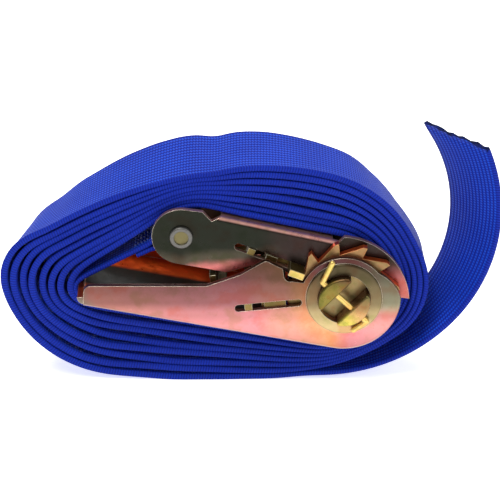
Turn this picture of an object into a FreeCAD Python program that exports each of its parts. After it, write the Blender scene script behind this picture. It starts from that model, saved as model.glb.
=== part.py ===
"""Endless ratchet tie down: a folded steel ratchet inside the coil of its own 25 mm webbing.

Millimetres, +Z up. The object stands on the flat underside of the coil, the spindle lies along Y,
X runs along the ratchet from the handle's tip to the wheels, and the origin is the centre of the
bounding box's bottom face.
"""
import math
import os

import FreeCAD, Part

# Webbing: the one size every other size follows.
WEBBING_WIDTH = 25.0
WEBBING_THICKNESS = 1.7
SIDE_PLAY = 1.25            # between the webbing's edge and the frame's plate
GAP = 0.3                   # between soft pieces and their neighbours

# Sheet steel.
FRAME_SHEET = 1.75
HANDLE_SHEET = 1.8
WHEEL_SHEET = 2.5
PAWL_SHEET = 2.0

# Positions across the ratchet, from the middle plane outwards.
FRAME_INNER = WEBBING_WIDTH / 2 + SIDE_PLAY
FRAME_OUTER = FRAME_INNER + FRAME_SHEET
WHEEL_INNER = FRAME_OUTER + 0.3
WHEEL_OUTER = WHEEL_INNER + WHEEL_SHEET
HANDLE_INNER = WHEEL_OUTER + 0.3
HANDLE_OUTER = HANDLE_INNER + HANDLE_SHEET
BOSS_HEIGHT = 0.8
SPINDLE_END = 24.0
SPLIT_PIN_Y = 22.5
PAWL_END_PLAY = 0.15        # between a pawl's plate and the channel around it
PAWL_EAR_PROUD = 0.5        # how far the frame pawl's ears pass the handle or the frame

# Spindle: two half-moons with the webbing slot between them.
SPINDLE = (26.5, 30.0)
SPINDLE_RADIUS = 7.5
SPINDLE_SLOT = 6.0
SPINDLE_SLOT_ANGLE = 46.0
SPINDLE_EDGE = 0.7
FRAME_BORE = SPINDLE_RADIUS + 0.06
HANDLE_BORE = SPINDLE_RADIUS + 0.08
WHEEL_BORE = SPINDLE_RADIUS + 0.02
BOSS_RADIUS = 11.0

# Ratchet wheels.
TEETH = 12
TIP_RADIUS = 16.2
ROOT_RADIUS = 12.7
TOOTH_FACE_ANGLE = 155.6    # the steep face that rests against the frame pawl

# Slots: the angle from the spindle and how far the centre line passes above its axis.
FRAME_SLOT_ANGLE = 158.8
FRAME_SLOT_LIFT = 2.1
FRAME_SLOT_ENDS = (12.0, 34.6)
HANDLE_SLOT_ANGLE = 186.0
HANDLE_SLOT_ENDS = (12.2, 31.7)
SLOT_WIDTH = PAWL_SHEET + 0.2

# Pawls and springs: radii from the spindle along each slot.
FRAME_PAWL_TIP = 13.3
FRAME_PAWL_BACK = 25.0
FRAME_PAWL_EARS = ((FRAME_PAWL_TIP, 17.8), (21.6, FRAME_PAWL_BACK))
FRAME_SPRING_START = 18.0
FRAME_SEAT = (28.4, 30.6)
HANDLE_PAWL_TIP = 16.9
HANDLE_PAWL_BACK = 23.9
HANDLE_PAWL_EAR = 19.4      # half the distance over its ears, which sit deep in the slots
HANDLE_SPRING_START = 18.9
HANDLE_SEAT = (26.6, 28.8)
FINGER_TAB = (36.2, 38.0)
FINGER_TAB_LIFT = 9.4
FINGER_ARM = (13.5, 16.5)   # each arm's span in Y
FINGER_ARM_GAP = 0.3        # between the arms and the pawl's own plane
FINGER_ARM_SHEET = 1.8
RECESS_HALF = 3.2
TONGUE_HALF = 1.0
SPRING_RADIUS = 2.0
SPRING_WIRE = 0.6
SPLIT_PIN_RADIUS = 0.85

# Anchor rivet, which holds the sewn loop.
ANCHOR = (-20.4, 47.2)
FRAME_END_RADIUS = 8.5
RIVET_SHANK_RADIUS = 2.2
RIVET_HEAD_RADIUS = 3.35
RIVET_HEAD_HEIGHT = 1.2
RIVET_DIMPLE_RADIUS = 2.1
SLEEVE_RADIUS = 4.0

# Frame outline.
FRAME_WEB = ((-9.0, 53.2), (23.3, 45.9))
FRAME_LOBE_START = (26.6, 47.1)
FRAME_LOBE_TOP = (40.4, 40.2)
FRAME_LOBE_RADIUS = 19.2
FRAME_CUT_ANGLE = -6.9
FRAME_RING_RADIUS = 13.0
FRAME_CAM_RADIUS = 16.6

# Handle outline.
HANDLE_TIP = (-48.8, 27.3)
HANDLE_NECK_RADIUS = 12.6
HANDLE_LOBE_RADIUS = 16.6
HANDLE_WEB_END = 7.0
GRIP_CURL_RADIUS = 2.2

# Webbing as it lies.
LOOP_ANGLE = 207.0
LOOP_LENGTH = 15.0
LEAD_END = 20.0
HALF_WEBBING = WEBBING_WIDTH / 2
COIL_FLAT = (-36.0, 4.0)

# Free tail: one long arc of the tape's near edge, twisting towards the front as it rises.
TAIL_STATIONS = 13
TAIL_CENTRE = (17.8, 54.0)
TAIL_RADIUS = 53.3
TAIL_ANGLES = (-92.0, 22.2)     # where it leaves the coil, and at the cut end
TAIL_TWIST = 49.0
TAIL_TWIST_POWER = 1.5
TAIL_LEAN = 8.1                 # how much further up the tape's far edge reaches at the cut end

OUT = "parts"


def vector(position, y=0.0):
    """A point in space from an (x, z) pair."""
    return FreeCAD.Vector(position[0], y, position[1])


def polar(radius, degrees, centre=SPINDLE):
    angle = math.radians(degrees)
    return (centre[0] + radius * math.cos(angle), centre[1] + radius * math.sin(angle))


def along(degrees, distance, lift=0.0, centre=SPINDLE):
    """A point at a distance along a direction, and lifted square to it."""
    angle = math.radians(degrees)
    x = centre[0] + distance * math.cos(angle) + lift * math.sin(angle)
    z = centre[1] + distance * math.sin(angle) - lift * math.cos(angle)
    return (x, z)


def outline(start, *steps):
    """A closed wire: each step is a point for a line, or a (middle, end) pair for an arc."""
    edges = []
    here = start
    for step in steps + (start,):
        if isinstance(step[0], tuple):
            middle, end = step
            edges.append(Part.Arc(vector(here), vector(middle), vector(end)).toShape())
        else:
            end = step
            if math.dist(here, end) > 1e-6:
                edges.append(Part.LineSegment(vector(here), vector(end)).toShape())
        here = end
    return Part.Wire(edges)


def slab(wire, low, high):
    """A wire in the XZ plane, filled and extruded from one Y to another."""
    face = Part.Face(wire)
    face.translate(FreeCAD.Vector(0, low, 0))
    return face.extrude(FreeCAD.Vector(0, high - low, 0))


def disc(centre, radius, low, high):
    return Part.makeCylinder(radius, high - low, vector(centre, low), FreeCAD.Vector(0, 1, 0))


def block(degrees, distances, lifts, ys, centre=SPINDLE):
    """A box in the axes of a slot: a span along it, a span square to it and a span in Y."""
    corners = [along(degrees, d, n, centre) for d, n in (
        (distances[0], lifts[0]), (distances[1], lifts[0]),
        (distances[1], lifts[1]), (distances[0], lifts[1]))]
    return slab(outline(*corners), ys[0], ys[1])


def stadium(degrees, ends, lift, width, ys):
    """A slot with round ends."""
    half = width / 2
    first, last = ends[0] + half, ends[1] - half
    low_start = along(degrees, first, lift - half)
    low_end = along(degrees, last, lift - half)
    high_end = along(degrees, last, lift + half)
    high_start = along(degrees, first, lift + half)
    wire = outline(low_start, low_end, (along(degrees, ends[1], lift), high_end),
                   high_start, (along(degrees, ends[0], lift), low_start))
    return slab(wire, ys[0], ys[1])


def mirrored(shape):
    return shape.mirror(FreeCAD.Vector(0, 0, 0), FreeCAD.Vector(0, 1, 0))


def both_sides(shape):
    return shape.fuse(mirrored(shape))


def rounded(shape, radius, chosen):
    """Fillet the edges that the test picks."""
    return shape.makeFillet(radius, [edge for edge in shape.Edges if chosen(edge)])


def save(name, shape):
    shape = shape.removeSplitter()
    if not shape.isValid():
        raise ValueError(name + " is not valid")
    box = shape.BoundBox
    print("%-22s solids %d volume %8.1f  x %6.1f..%6.1f  y %6.1f..%6.1f  z %6.1f..%6.1f" % (
        name, len(shape.Solids), shape.Volume,
        box.XMin, box.XMax, box.YMin, box.YMax, box.ZMin, box.ZMax))
    shape.exportStep(os.path.join(OUT, name + ".step"))


# ---------------------------------------------------------------- steel channels

def frame_plate_wire():
    """One side of the frame: round anchor end, notch, web edge, release lobe and bearing ring."""
    ring, cam = FRAME_RING_RADIUS, FRAME_CAM_RADIUS
    rim = -(SLOT_WIDTH / 2 + 1.2)
    cam_top = along(FRAME_SLOT_ANGLE, cam, FRAME_SLOT_LIFT + rim)
    return outline(
        FRAME_WEB[0], FRAME_WEB[1], (25.0, 45.4), FRAME_LOBE_START,
        (FRAME_LOBE_TOP, polar(FRAME_LOBE_RADIUS, FRAME_CUT_ANGLE)), polar(ring, FRAME_CUT_ANGLE),
        (polar(ring, -90), polar(ring, 200)), polar(cam, 200),
        (polar(cam, 180), cam_top), along(FRAME_SLOT_ANGLE, 25.5, FRAME_SLOT_LIFT + rim),
        (-7.3, 36.0), polar(FRAME_END_RADIUS, -101, ANCHOR),
        (polar(FRAME_END_RADIUS, 180, ANCHOR), polar(FRAME_END_RADIUS, 85, ANCHOR)),
        (-14.2, 54.9), (-11.6, 52.0))


def frame_channel():
    plate = slab(frame_plate_wire(), FRAME_INNER, FRAME_OUTER)
    plate = plate.cut(disc(SPINDLE, FRAME_BORE, FRAME_INNER - 1, FRAME_OUTER + 1))
    plate = plate.cut(disc(ANCHOR, RIVET_SHANK_RADIUS, FRAME_INNER - 1, FRAME_OUTER + 1))
    plate = plate.cut(stadium(FRAME_SLOT_ANGLE, FRAME_SLOT_ENDS, FRAME_SLOT_LIFT, SLOT_WIDTH,
                              (FRAME_INNER - 1, FRAME_OUTER + 1)))
    drop = FRAME_SHEET * 1.04
    under = [(x, z - drop) for x, z in FRAME_WEB]
    web = slab(outline(FRAME_WEB[0], FRAME_WEB[1], under[1], under[0]), -FRAME_INNER, FRAME_INNER)
    channel = both_sides(plate).fuse(web).removeSplitter()

    def outer_bend(edge):
        box = edge.BoundBox
        long_enough = box.XLength > 30 and box.YLength < 0.01
        return long_enough and abs(abs(box.YMin) - FRAME_OUTER) < 0.01 and box.ZMin > 44.0

    return rounded(channel, 1.5, outer_bend)


def handle_plate_wire():
    """One side of the handle: grip, the step up to the neck, the pawl recess and the hub."""
    slope = handle_slope()
    foot = polar(HANDLE_LOBE_RADIUS, slope - 90)
    neck = HANDLE_NECK_RADIUS
    return outline(
        HANDLE_TIP, (-48.6, 31.9), ((-48.1, 33.1), (-46.6, 33.8)), (-13.1, 33.8), (-3.5, 37.3),
        (3.0, 41.3), ((4.3, 41.6), (5.4, 41.0)), (8.8, 39.3), (9.2, 36.6),
        ((9.9, 35.6), (11.6, 35.3)), polar(neck, 157.5), (polar(neck, 95), polar(neck, 38)),
        (polar(14.7, 18), polar(HANDLE_LOBE_RADIUS, -4)),
        (polar(HANDLE_LOBE_RADIUS, -50), foot))


def handle_slope():
    """The bottom edge's slope in degrees: tangent from the tip to the hub's circle."""
    dx, dz = SPINDLE[0] - HANDLE_TIP[0], SPINDLE[1] - HANDLE_TIP[1]
    reach = math.hypot(dx, dz)
    return math.degrees(math.atan2(dz, dx) - math.asin(HANDLE_LOBE_RADIUS / reach))


def grip_centre():
    """The centre of the rolled lip at the grip's tip, which is tangent to the web's underside."""
    return along(handle_slope(), 0.0, -GRIP_CURL_RADIUS, HANDLE_TIP)


def handle_channel():
    plate = slab(handle_plate_wire(), HANDLE_INNER, HANDLE_OUTER)
    boss = disc(SPINDLE, BOSS_RADIUS, HANDLE_OUTER - 0.2, HANDLE_OUTER + BOSS_HEIGHT)
    boss = rounded(boss, 0.6, lambda edge: abs(edge.BoundBox.YMin - HANDLE_OUTER - BOSS_HEIGHT) < 0.01
                   and edge.BoundBox.YLength < 0.01)
    plate = plate.fuse(boss)
    plate = plate.cut(disc(SPINDLE, HANDLE_BORE, HANDLE_INNER - 1, HANDLE_OUTER + 2))
    plate = plate.cut(stadium(HANDLE_SLOT_ANGLE, HANDLE_SLOT_ENDS, 0.0, SLOT_WIDTH,
                              (HANDLE_INNER - 1, HANDLE_OUTER + 1)))
    slope = handle_slope()
    reach = (HANDLE_WEB_END - HANDLE_TIP[0]) / math.cos(math.radians(slope))
    centre = grip_centre()
    outer, inner = GRIP_CURL_RADIUS, GRIP_CURL_RADIUS - HANDLE_SHEET
    low = slope - 90
    web_wire = outline(
        HANDLE_TIP, along(slope, reach, 0, HANDLE_TIP), along(slope, reach, -HANDLE_SHEET, HANDLE_TIP),
        polar(inner, low, centre), (polar(inner, low - 45, centre), polar(inner, low - 80, centre)),
        polar(outer, low - 80, centre), (polar(outer, low - 45, centre), HANDLE_TIP))
    web = slab(web_wire, -HANDLE_INNER, HANDLE_INNER)
    channel = both_sides(plate).fuse(web).removeSplitter()

    def outer_bend(edge):
        box = edge.BoundBox
        return (box.XLength > 60 and box.YLength < 0.01 and box.ZMax < HANDLE_TIP[1] + 1
                and abs(abs(box.YMin) - HANDLE_OUTER) < 0.01)

    return rounded(channel, 1.5, outer_bend)


# ---------------------------------------------------------------- spindle and wheels

def half_moon(side):
    """One half of the spindle: side is -1 above the slot and +1 below it."""
    cylinder = disc(SPINDLE, SPINDLE_RADIUS, -SPINDLE_END, SPINDLE_END)
    keep = block(SPINDLE_SLOT_ANGLE, (-10, 10), sorted((side * SPINDLE_SLOT / 2, side * 10)),
                 (-SPINDLE_END - 1, SPINDLE_END + 1))
    half = cylinder.common(keep)
    half = rounded(half, SPINDLE_EDGE, lambda edge: edge.BoundBox.YLength > 2 * SPINDLE_END - 1
                   or edge.BoundBox.YLength < 0.01)
    for y in (-SPLIT_PIN_Y, SPLIT_PIN_Y):
        half = half.cut(split_pin_shank(y, SPLIT_PIN_RADIUS + 0.05))
    return half


def split_pin_shank(y, radius):
    start = along(SPINDLE_SLOT_ANGLE + 90, -9.0)
    end = along(SPINDLE_SLOT_ANGLE + 90, 8.6)
    axis = vector(end).sub(vector(start))
    return Part.makeCylinder(radius, axis.Length, vector(start, y), axis)


def split_pin(y):
    """A pin across the slot with both ends bent over against the spindle's side."""
    pin = split_pin_shank(y, SPLIT_PIN_RADIUS)
    for reach, length, bearing in ((8.6, 6.6, 66), (-9.0, 4.6, 217)):
        elbow = along(SPINDLE_SLOT_ANGLE + 90, reach)
        tip = polar(length, bearing, elbow)
        leg = vector(tip).sub(vector(elbow))
        pin = pin.fuse(Part.makeSphere(SPLIT_PIN_RADIUS, vector(elbow, y)))
        pin = pin.fuse(Part.makeCylinder(SPLIT_PIN_RADIUS, leg.Length, vector(elbow, y), leg))
        pin = pin.fuse(Part.makeSphere(SPLIT_PIN_RADIUS, vector(tip, y)))
    return pin


def ratchet_wheel(side):
    """A toothed disc with two D-shaped holes; the bar between them keeps the half-moons apart."""
    pitch = 360.0 / TEETH
    corners = []
    for tooth in range(TEETH):
        face = TOOTH_FACE_ANGLE + tooth * pitch
        corners.append(polar(ROOT_RADIUS, face))
        corners.append(polar(TIP_RADIUS, face))
        corners.append(polar(TIP_RADIUS - 0.2, face + 4))
    low, high = sorted((side * WHEEL_INNER, side * WHEEL_OUTER))
    wheel = slab(outline(*corners), low, high)
    holes = disc(SPINDLE, WHEEL_BORE, low - 1, high + 1)
    bar = SPINDLE_SLOT - 0.04
    holes = holes.cut(block(SPINDLE_SLOT_ANGLE, (-10, 10), (-bar / 2, bar / 2), (low - 2, high + 2)))
    return wheel.cut(holes)


# ---------------------------------------------------------------- pawls and springs

def spring_recess(degrees, distances, lift):
    """The opening in a pawl's back edge that holds the spring, around its tongue."""
    recess = block(degrees, distances, (lift - 4, lift + 4), (-RECESS_HALF, RECESS_HALF))
    tongue = block(degrees, (distances[0] - 1, distances[1] - 1.6), (lift - 5, lift + 5),
                   (-TONGUE_HALF, TONGUE_HALF))
    return recess.cut(tongue)


def frame_pawl():
    half = PAWL_SHEET / 2
    lifts = (FRAME_SLOT_LIFT - half, FRAME_SLOT_LIFT + half)
    angle = FRAME_SLOT_ANGLE
    inside = FRAME_INNER - PAWL_END_PLAY
    pawl = block(angle, (FRAME_PAWL_TIP, FRAME_PAWL_BACK), lifts, (-inside, inside))
    for span, outer in zip(FRAME_PAWL_EARS, (HANDLE_OUTER, FRAME_OUTER)):
        reach = outer + PAWL_EAR_PROUD
        pawl = pawl.fuse(block(angle, span, lifts, (-reach, reach)))
    pawl = pawl.removeSplitter()
    return pawl.cut(spring_recess(angle, (FRAME_SPRING_START, FRAME_PAWL_BACK + 0.1),
                                  FRAME_SLOT_LIFT))


def handle_pawl():
    """The drive pawl: a plate in the handle's slots, with two arms to an upturned finger tab."""
    half = PAWL_SHEET / 2
    angle = HANDLE_SLOT_ANGLE
    inside = HANDLE_INNER - PAWL_END_PLAY
    ear = HANDLE_PAWL_EAR
    pawl = block(angle, (HANDLE_PAWL_TIP, HANDLE_PAWL_BACK), (-half, half), (-inside, inside))
    pawl = pawl.fuse(block(angle, (HANDLE_PAWL_TIP, HANDLE_PAWL_BACK - 0.8), (-half, half),
                           (-ear, ear)))
    pawl = pawl.cut(spring_recess(angle, (HANDLE_SPRING_START, HANDLE_PAWL_BACK + 0.1), 0.0))
    low = half + FINGER_ARM_GAP
    arm_lifts = (low, low + FINGER_ARM_SHEET)
    root = HANDLE_PAWL_BACK - 2.4
    for side in (-1, 1):
        ys = sorted((side * FINGER_ARM[0], side * FINGER_ARM[1]))
        pawl = pawl.fuse(block(angle, (root, HANDLE_PAWL_BACK), (-half, arm_lifts[1]), ys))
        pawl = pawl.fuse(block(angle, (root, FINGER_TAB[1]), arm_lifts, ys))
    tab = (-FINGER_ARM[1], FINGER_ARM[1])
    pawl = pawl.fuse(block(angle, (FINGER_TAB[0] - 2.4, FINGER_TAB[1]), arm_lifts, tab))
    return pawl.fuse(block(angle, FINGER_TAB, (arm_lifts[0], FINGER_TAB_LIFT), tab))


def spring_seat(degrees, ends, lift, half_width):
    half = PAWL_SHEET / 2
    return block(degrees, ends, (lift - half, lift + half), (-half_width, half_width))


def coil_spring(degrees, ends, lift, turns):
    """A helical spring along a slot's centre line."""
    length = ends[1] - ends[0] - 0.2 - SPRING_WIRE
    helix = Part.makeHelix(length / turns, length, SPRING_RADIUS)
    section = Part.Wire(Part.makeCircle(SPRING_WIRE / 2, FreeCAD.Vector(SPRING_RADIUS, 0, 0),
                                        FreeCAD.Vector(0, 1, 0)))
    spring = Part.Wire(helix.Edges).makePipeShell([section], True, True)
    turn = FreeCAD.Rotation(FreeCAD.Vector(0, 0, 1), vector(along(degrees, 1.0, 0, (0, 0))))
    start = vector(along(degrees, ends[0] + 0.1 + SPRING_WIRE / 2, lift))
    spring.Placement = FreeCAD.Placement(start, turn)
    return spring


# ---------------------------------------------------------------- anchor

def anchor_rivet():
    rivet = disc(ANCHOR, RIVET_SHANK_RADIUS - 0.02, -FRAME_OUTER, FRAME_OUTER)
    top = FRAME_OUTER + RIVET_HEAD_HEIGHT
    head = disc(ANCHOR, RIVET_HEAD_RADIUS, FRAME_OUTER, top)
    head = rounded(head, 0.5, lambda edge: abs(edge.BoundBox.YMin - top) < 0.01
                   and edge.BoundBox.YLength < 0.01)
    head = head.cut(disc(ANCHOR, RIVET_DIMPLE_RADIUS, top - 0.5, top + 1))
    return rivet.fuse(both_sides(head))


def anchor_sleeve():
    ends = FRAME_INNER - 0.1
    tube = disc(ANCHOR, SLEEVE_RADIUS, -ends, ends)
    return tube.cut(disc(ANCHOR, RIVET_SHANK_RADIUS + 0.05, -ends - 1, ends + 1))


# ---------------------------------------------------------------- webbing

def webbing_loop():
    """The sewn eye around the sleeve and the two layers that are stitched together."""
    inner = SLEEVE_RADIUS + GAP
    eye = disc(ANCHOR, inner + WEBBING_THICKNESS, -HALF_WEBBING, HALF_WEBBING)
    layers = block(LOOP_ANGLE, (inner, LOOP_LENGTH), (-WEBBING_THICKNESS, WEBBING_THICKNESS),
                   (-HALF_WEBBING, HALF_WEBBING), ANCHOR)
    hole = disc(ANCHOR, inner, -HALF_WEBBING - 1, HALF_WEBBING + 1)
    return eye.fuse(layers).cut(hole)


def lead_turn():
    """The centre and radius of the lead's bend round the grip's tip, and its two tangent angles."""
    centre = grip_centre()
    radius = GRIP_CURL_RADIUS + GAP + WEBBING_THICKNESS / 2
    start = along(LOOP_ANGLE, LOOP_LENGTH + 0.1, WEBBING_THICKNESS / 2, ANCHOR)
    dx, dz = start[0] - centre[0], start[1] - centre[1]
    bearing = math.degrees(math.atan2(dz, dx))
    spread = math.degrees(math.acos(radius / math.hypot(dx, dz)))
    return centre, radius, start, bearing + spread, handle_slope() + 270


def webbing_lead():
    """The single layer from the sewn end, round the grip's tip and back under the handle."""
    centre, radius, start, first, last = lead_turn()
    half = WEBBING_THICKNESS / 2
    outer, inner = radius + half, radius - half
    middle = (first + last) / 2
    run = (LEAD_END - centre[0]) / math.cos(math.radians(handle_slope()))
    slope = handle_slope()
    tangent = math.degrees(math.atan2(start[1] - polar(radius, first, centre)[1],
                                      start[0] - polar(radius, first, centre)[0]))
    wire = outline(
        along(tangent, 0, -half, start), polar(outer, first, centre),
        (polar(outer, middle, centre), polar(outer, last, centre)),
        along(slope, run, outer, centre), along(slope, run, inner, centre),
        polar(inner, last, centre), (polar(inner, middle, centre), polar(inner, first, centre)),
        along(tangent, 0, half, start))
    return slab(wire, -HALF_WEBBING, HALF_WEBBING)


def coil_outside():
    """The coil's outer shape, filled: flat underneath, a long dome above and round ends."""
    wire = outline(
        (COIL_FLAT[0], 0.0), ((-60.5, 11.5), (-71.2, 32.0)), ((-69.2, 41.2), (-61.2, 47.4)),
        ((-40.2, 58.2), (-16.9, 65.4)), ((3.0, 67.8), (22.3, 65.4)), ((39.2, 56.2), (48.4, 42.0)),
        ((51.6, 30.0), (46.8, 17.0)), ((27.0, 3.9), (COIL_FLAT[1], 0.0)))
    return slab(wire, -HALF_WEBBING, HALF_WEBBING)


def webbing_coil():
    """The coiled turns as one ring that lies close around the ratchet."""
    slope = handle_slope()
    centre, radius, _, _, last = lead_turn()
    below = radius + WEBBING_THICKNESS / 2 + GAP
    inside = outline(
        polar(below, last, centre), along(slope, 69.8, below, centre),
        ((38.6, 28.5), (25.2, 46.4)), (-9.0, 53.8), ((-16.5, 55.3), (-24.0, 52.9)),
        (-50.4, 35.0), polar(below, 150, centre),
        (polar(below, 205, centre), polar(below, last, centre)))
    return coil_outside().cut(slab(inside, -HALF_WEBBING - 1, HALF_WEBBING + 1))


def webbing_tail(outside):
    """The free end: it leaves the coil underneath, rises and twists towards the front."""
    sections = []
    for station in range(TAIL_STATIONS):
        share = station / (TAIL_STATIONS - 1)
        angle = TAIL_ANGLES[0] + share * (TAIL_ANGLES[1] - TAIL_ANGLES[0])
        twist = math.radians(TAIL_TWIST * share ** TAIL_TWIST_POWER)
        radial = vector(polar(1.0, angle, (0, 0)))
        across = FreeCAD.Vector(0, math.cos(twist), 0) - radial * math.sin(twist)
        across.z += share ** 2 * TAIL_LEAN / WEBBING_WIDTH
        outward = radial * math.cos(twist) + FreeCAD.Vector(0, math.sin(twist), 0)
        near = vector(polar(TAIL_RADIUS, angle, TAIL_CENTRE), -HALF_WEBBING)
        far = near + across * WEBBING_WIDTH
        depth = outward * WEBBING_THICKNESS
        sections.append(Part.makePolygon([near, far, far - depth, near - depth, near]))
    return Part.makeLoft(sections, True).cut(outside)


def main():
    os.makedirs(OUT, exist_ok=True)
    save("frame_channel", frame_channel())
    save("handle_channel", handle_channel())
    save("spindle_half_upper", half_moon(-1))
    save("spindle_half_lower", half_moon(1))
    save("ratchet_wheel_front", ratchet_wheel(-1))
    save("ratchet_wheel_rear", ratchet_wheel(1))
    save("split_pin_front", split_pin(-SPLIT_PIN_Y))
    save("split_pin_rear", split_pin(SPLIT_PIN_Y))
    save("frame_pawl", frame_pawl())
    save("handle_pawl", handle_pawl())
    save("frame_spring_seat", spring_seat(FRAME_SLOT_ANGLE, FRAME_SEAT, FRAME_SLOT_LIFT,
                                          FRAME_OUTER + 0.5))
    save("handle_spring_seat", spring_seat(HANDLE_SLOT_ANGLE, HANDLE_SEAT, 0.0, HANDLE_OUTER - 0.1))
    save("frame_pawl_spring", coil_spring(
        FRAME_SLOT_ANGLE, (FRAME_SPRING_START, FRAME_SEAT[0]), FRAME_SLOT_LIFT, 8))
    save("handle_pawl_spring", coil_spring(
        HANDLE_SLOT_ANGLE, (HANDLE_SPRING_START, HANDLE_SEAT[0]), 0.0, 7))
    save("anchor_rivet", anchor_rivet())
    save("anchor_sleeve", anchor_sleeve())
    save("webbing_loop", webbing_loop())
    save("webbing_lead", webbing_lead())
    save("webbing_coil", webbing_coil())
    save("webbing_tail", webbing_tail(coil_outside()))


main()
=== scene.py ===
"""Looks for the ratchet tie down: coiled blue webbing, zinc-passivated steel, plain pale studio."""
import math
import random

import bpy
import numpy as np
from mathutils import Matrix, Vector


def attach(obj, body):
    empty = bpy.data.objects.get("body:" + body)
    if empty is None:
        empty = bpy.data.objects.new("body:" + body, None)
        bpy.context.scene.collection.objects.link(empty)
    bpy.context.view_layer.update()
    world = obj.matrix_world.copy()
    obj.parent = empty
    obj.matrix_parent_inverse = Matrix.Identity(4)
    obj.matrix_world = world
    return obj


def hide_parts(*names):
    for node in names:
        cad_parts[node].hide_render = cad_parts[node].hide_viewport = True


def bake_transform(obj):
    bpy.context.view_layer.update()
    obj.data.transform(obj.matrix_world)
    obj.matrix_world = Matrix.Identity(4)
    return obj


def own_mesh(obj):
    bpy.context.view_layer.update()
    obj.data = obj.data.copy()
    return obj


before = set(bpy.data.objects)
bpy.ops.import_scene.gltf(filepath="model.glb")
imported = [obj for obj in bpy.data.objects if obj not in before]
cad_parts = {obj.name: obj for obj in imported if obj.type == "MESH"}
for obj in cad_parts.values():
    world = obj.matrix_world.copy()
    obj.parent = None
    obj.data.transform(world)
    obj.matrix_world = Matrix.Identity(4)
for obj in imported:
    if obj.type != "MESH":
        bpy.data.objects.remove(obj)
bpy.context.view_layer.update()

MM = 0.001
rng = random.Random(7)

# ---------------------------------------------------------------- sizes of the design, mm
WIDTH = 25.0                # of the webbing
TAPE = 1.4                  # its thickness between the selvedges; the design's tape is 1.7
SPINDLE = (26.5, 30.0)
ANCHOR = (-20.4, 47.2)
HANDLE_TIP = (-48.8, 27.3)
HANDLE_LOBE_RADIUS = 16.6
GRIP_CURL_RADIUS = 2.2
EYE_RADIUS = 5.15           # centre line of the webbing round the anchor sleeve
GRIP_WRAP_RADIUS = 3.35     # centre line of the webbing round the grip's tip
LOOP_ANGLE = 207.0
TURNS = 8
LEAD_END = 20.0


# ---------------------------------------------------------------- plane geometry, (x, z) in mm

def polar(radius, degrees, centre):
    angle = math.radians(degrees)
    return (centre[0] + radius * math.cos(angle), centre[1] + radius * math.sin(angle))


def along(degrees, distance, lift, centre):
    """A point at a distance along a direction, lifted square to it as in the design."""
    angle = math.radians(degrees)
    return (centre[0] + distance * math.cos(angle) + lift * math.sin(angle),
            centre[1] + distance * math.sin(angle) - lift * math.cos(angle))


def arc(first, middle, last, count=40):
    """Points on the circle through three points, from the first to the last."""
    ax, az = first
    bx, bz = middle
    cx, cz = last
    d = 2 * (ax * (bz - cz) + bx * (cz - az) + cx * (az - bz))
    a2, b2, c2 = ax * ax + az * az, bx * bx + bz * bz, cx * cx + cz * cz
    centre = ((a2 * (bz - cz) + b2 * (cz - az) + c2 * (az - bz)) / d,
              (a2 * (cx - bx) + b2 * (ax - cx) + c2 * (bx - ax)) / d)
    radius = math.dist(first, centre)
    angles = [math.degrees(math.atan2(p[1] - centre[1], p[0] - centre[0]))
              for p in (first, middle, last)]
    sweep = (angles[2] - angles[0]) % 360
    if (angles[1] - angles[0]) % 360 > sweep:
        sweep -= 360
    return [polar(radius, angles[0] + sweep * i / count, centre) for i in range(count + 1)]


def tangent_bearing(point, centre, radius, side):
    """The bearing from the centre at which a line from the point touches the circle."""
    dx, dz = point[0] - centre[0], point[1] - centre[1]
    return (math.degrees(math.atan2(dz, dx))
            + side * math.degrees(math.acos(radius / math.hypot(dx, dz))))


def wrap(radius, first, last, centre, step=6.0):
    count = max(2, int(abs(last - first) / step))
    return [polar(radius, first + (last - first) * i / count, centre) for i in range(count + 1)]


def smoothstep(t):
    t = min(1.0, max(0.0, t))
    return t * t * (3 - 2 * t)


def handle_slope():
    dx, dz = SPINDLE[0] - HANDLE_TIP[0], SPINDLE[1] - HANDLE_TIP[1]
    return math.degrees(math.atan2(dz, dx) - math.asin(HANDLE_LOBE_RADIUS / math.hypot(dx, dz)))


SLOPE = handle_slope()
GRIP = along(SLOPE, 0.0, -GRIP_CURL_RADIUS, HANDLE_TIP)


# ---------------------------------------------------------------- strips of webbing

def resampled(points, spacing, rounds):
    """Equally spaced points along a 3-D line, softened by a few rounds of averaging."""
    points = np.asarray(points, float)
    for _ in range(2):
        steps = np.linalg.norm(np.diff(points, axis=0), axis=1)
        keep = np.concatenate([[True], steps > 1e-6])
        points = points[keep]
        run = np.concatenate([[0], np.cumsum(np.linalg.norm(np.diff(points, axis=0), axis=1))])
        count = max(3, int(round(run[-1] / spacing)) + 1)
        even = np.linspace(0, run[-1], count)
        points = np.stack([np.interp(even, run, points[:, i]) for i in range(points.shape[1])], 1)
        for _ in range(rounds):
            points[1:-1] = 0.25 * points[:-2] + 0.5 * points[1:-1] + 0.25 * points[2:]
    return points


def profile():
    """The tape's section: (across, height) from one selvedge round to the other and back, in mm."""
    half, edge = TAPE / 2, 0.62
    columns = 13
    top = [(edge + (WIDTH - 2 * edge) * i / (columns - 1), half) for i in range(columns)]
    side = [(WIDTH - edge + edge * math.cos(a), half * math.sin(a))
            for a in (math.pi / 3, math.pi / 7, -math.pi / 7, -math.pi / 3)]
    bottom = [(a, -half) for a, _ in reversed(top)]
    back = [(WIDTH - a, h) for a, h in reversed(side)]
    return top + side + bottom + back


SECTION = profile()
SELVEDGE, FAR_SWELL = 4.0, 0.3
# How far the section's outline runs along one face and round one selvedge, in mm.
SECTION_RUNS = (math.dist(SECTION[0], SECTION[12]),
                sum(math.dist(SECTION[i], SECTION[i + 1]) for i in range(12, 17)))
RIB, PICK, SELVEDGE_PICK = 1.65, 0.86, 0.78


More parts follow.
